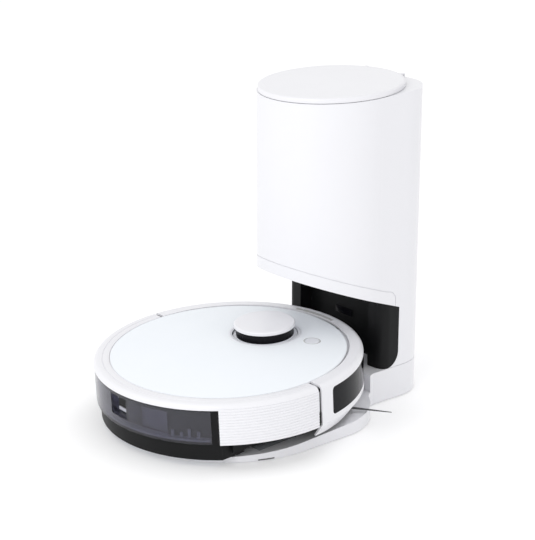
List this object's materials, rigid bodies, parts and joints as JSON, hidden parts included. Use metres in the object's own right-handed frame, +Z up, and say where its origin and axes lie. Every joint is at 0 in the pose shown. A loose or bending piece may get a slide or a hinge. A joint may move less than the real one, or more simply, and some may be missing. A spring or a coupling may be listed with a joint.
{
  "type": "robot vacuum with auto-empty station",
  "caption": "Round robot vacuum and mop with lidar turret, smoked water tank and side brushes, parked on a tall dust-emptying charging station with a hinged lid.",
  "frame": {"origin": "on the ground, under the middle of the whole object's box", "axes": "+Z up; +Y towards the tower and the robot's nose; +X to the right for someone facing the tower"},
  "size_m": [0.353, 0.4516, 0.431],
  "materials": {
    "white_plastic": "satin white",
    "cover_white": "matte, faintly blue white",
    "light_grey_plastic": "satin",
    "grey_plastic": "satin",
    "charcoal_plastic": "satin",
    "black_plastic": "fine texture",
    "gloss_black": "polished",
    "smoked_tank": "smoked, see-through",
    "smoked_clear": "smoked, see-through",
    "dark_rubber": "moulded",
    "grey_rubber": "ribbed",
    "tread_rubber": "treaded",
    "brush_rubber": "moulded fins",
    "bristle_grey": "nylon",
    "bag_paper": "non-woven",
    "filter_paper": "pleated",
    "mop_cloth": "microfibre",
    "motor_metal": "drawn steel",
    "screw_steel": "zinc",
    "contact_brass": "plated",
    "board_green": "solder mask",
    "battery_wrap": "shrink wrap"
  },
  "bodies": {
    "station": {"station_base": "white_plastic", "rubber_feet": "dark_rubber", "bottom_cover": "grey_plastic", "ramp_mats": "grey_rubber", "port_seal": "dark_rubber", "tower_shell": "white_plastic", "service_panel": "white_plastic", "bay_liner": "charcoal_plastic", "bag_chamber": "grey_plastic", "dust_bag": "bag_paper", "bag_card": "grey_plastic", "suction_motor": "motor_metal", "air_duct": "grey_plastic", "power_supply": "board_green", "power_inlet": "black_plastic", "station_screws": "screw_steel", "lid_hinge_pin": "screw_steel"},
    "station_lid": {"station_lid": "white_plastic"},
    "robot": {"chassis": "charcoal_plastic", "rear_body_shell": "white_plastic", "deck": "white_plastic", "cover_hinge_pin": "screw_steel", "lidar_base": "light_grey_plastic", "lidar_window_band": "gloss_black", "lidar_cap": "white_plastic", "brush_bearings": "black_plastic", "brush_housing": "black_plastic", "brush_guard": "charcoal_plastic", "left_side_brush_motor": "motor_metal", "right_side_brush_motor": "motor_metal", "dust_bin": "smoked_clear", "bin_filter": "filter_paper", "battery": "battery_wrap", "battery_cover": "charcoal_plastic", "suction_fan": "black_plastic", "main_board": "board_green", "cliff_sensors": "gloss_black", "robot_contacts": "contact_brass", "chassis_screws": "screw_steel"},
    "top_cover": {"top_cover": "cover_white"},
    "power_button": {"power_button": "light_grey_plastic"},
    "bumper": {"bumper": "white_plastic", "bumper_window": "gloss_black"},
    "lidar_rotor": {"lidar_rotor": "gloss_black"},
    "left_wheel_arm": {"left_wheel_arm": "black_plastic"},
    "right_wheel_arm": {"right_wheel_arm": "black_plastic"},
    "left_wheel": {"left_wheel_hub": "grey_plastic", "left_tyre": "tread_rubber"},
    "right_wheel": {"right_wheel_hub": "grey_plastic", "right_tyre": "tread_rubber"},
    "caster_fork": {"caster_fork": "black_plastic"},
    "caster_wheel": {"caster_wheel": "light_grey_plastic"},
    "main_brush": {"main_brush": "brush_rubber"},
    "left_side_brush": {"left_side_brush": "bristle_grey"},
    "right_side_brush": {"right_side_brush": "bristle_grey"},
    "water_tank": {"water_tank": "smoked_tank", "tank_filler_plug": "dark_rubber"},
    "tank_latch_button": {"tank_latch_button": "black_plastic"},
    "mop": {"mop_plate": "charcoal_plastic", "mop_pad": "mop_cloth"}
  },
  "joints": [
    {"name": "robot_undock", "type": "slide", "parent": "station", "child": "robot", "axis": [0, -1, 0], "range_m": [0, 0.42]},
    {"name": "station_lid_hinge", "type": "hinge", "parent": "station", "child": "station_lid", "pos_m": [0, 0.21976, 0.4274], "axis": [-1, 0, 0], "range_deg": [0, 75]},
    {"name": "top_cover_hinge", "type": "hinge", "parent": "robot", "child": "top_cover", "pos_m": [0, 0.09817, 0.09694], "axis": [-1, 0, 0], "range_deg": [0, 38]},
    {"name": "power_button_press", "type": "slide", "parent": "top_cover", "child": "power_button", "axis": [0, 0.0516, -0.9987], "range_m": [0, 0.0008], "stiffness_N_per_m": 900},
    {"name": "bumper_press", "type": "slide", "parent": "robot", "child": "bumper", "axis": [0, -0.9987, -0.0516], "range_m": [0, 0.0018], "stiffness_N_per_m": 1200},
    {"name": "lidar_spin", "type": "hinge", "parent": "robot", "child": "lidar_rotor", "pos_m": [0, 0.01174, 0.10309], "axis": [0, -0.0516, 0.9987], "continuous": true},
    {"name": "left_suspension", "type": "hinge", "parent": "robot", "child": "left_wheel_arm", "pos_m": [-0.086, -0.0097, 0.05291], "axis": [-1, 0, 0], "range_deg": [0, 7]},
    {"name": "right_suspension", "type": "hinge", "parent": "robot", "child": "right_wheel_arm", "pos_m": [0.086, -0.0097, 0.05291], "axis": [-1, 0, 0], "range_deg": [0, 7]},
    {"name": "left_wheel_spin", "type": "hinge", "parent": "left_wheel_arm", "child": "left_wheel", "pos_m": [-0.1145, -0.04734, 0.04496], "axis": [1, 0, 0], "continuous": true},
    {"name": "right_wheel_spin", "type": "hinge", "parent": "right_wheel_arm", "child": "right_wheel", "pos_m": [0.1145, -0.04734, 0.04496], "axis": [1, 0, 0], "continuous": true},
    {"name": "caster_swivel", "type": "hinge", "parent": "robot", "child": "caster_fork", "pos_m": [0, 0.08269, 0.04768], "axis": [0, -0.0516, 0.9987], "continuous": true},
    {"name": "caster_spin", "type": "hinge", "parent": "caster_fork", "child": "caster_wheel", "pos_m": [0, 0.07852, 0.03144], "axis": [1, 0, 0], "continuous": true},
    {"name": "main_brush_spin", "type": "hinge", "parent": "robot", "child": "main_brush", "pos_m": [0, -0.03481, 0.03509], "axis": [1, 0, 0], "continuous": true},
    {"name": "left_side_brush_spin", "type": "hinge", "parent": "robot", "child": "left_side_brush", "pos_m": [-0.118, 0.04201, 0.02114], "axis": [0, -0.0516, 0.9987], "continuous": true},
    {"name": "right_side_brush_spin", "type": "hinge", "parent": "robot", "child": "right_side_brush", "pos_m": [0.118, 0.04201, 0.02114], "axis": [0, -0.0516, 0.9987], "continuous": true},
    {"name": "water_tank_slide", "type": "slide", "parent": "robot", "child": "water_tank", "axis": [0, -0.9987, -0.0516], "range_m": [0, 0.12]},
    {"name": "tank_latch_press", "type": "slide", "parent": "water_tank", "child": "tank_latch_button", "axis": [0, 0.9987, 0.0516], "range_m": [0, 0.0025], "stiffness_N_per_m": 800},
    {"name": "mop_plate_slide", "type": "slide", "parent": "water_tank", "child": "mop", "axis": [0, -0.9987, -0.0516], "range_m": [0, 0.1]}
  ]
}
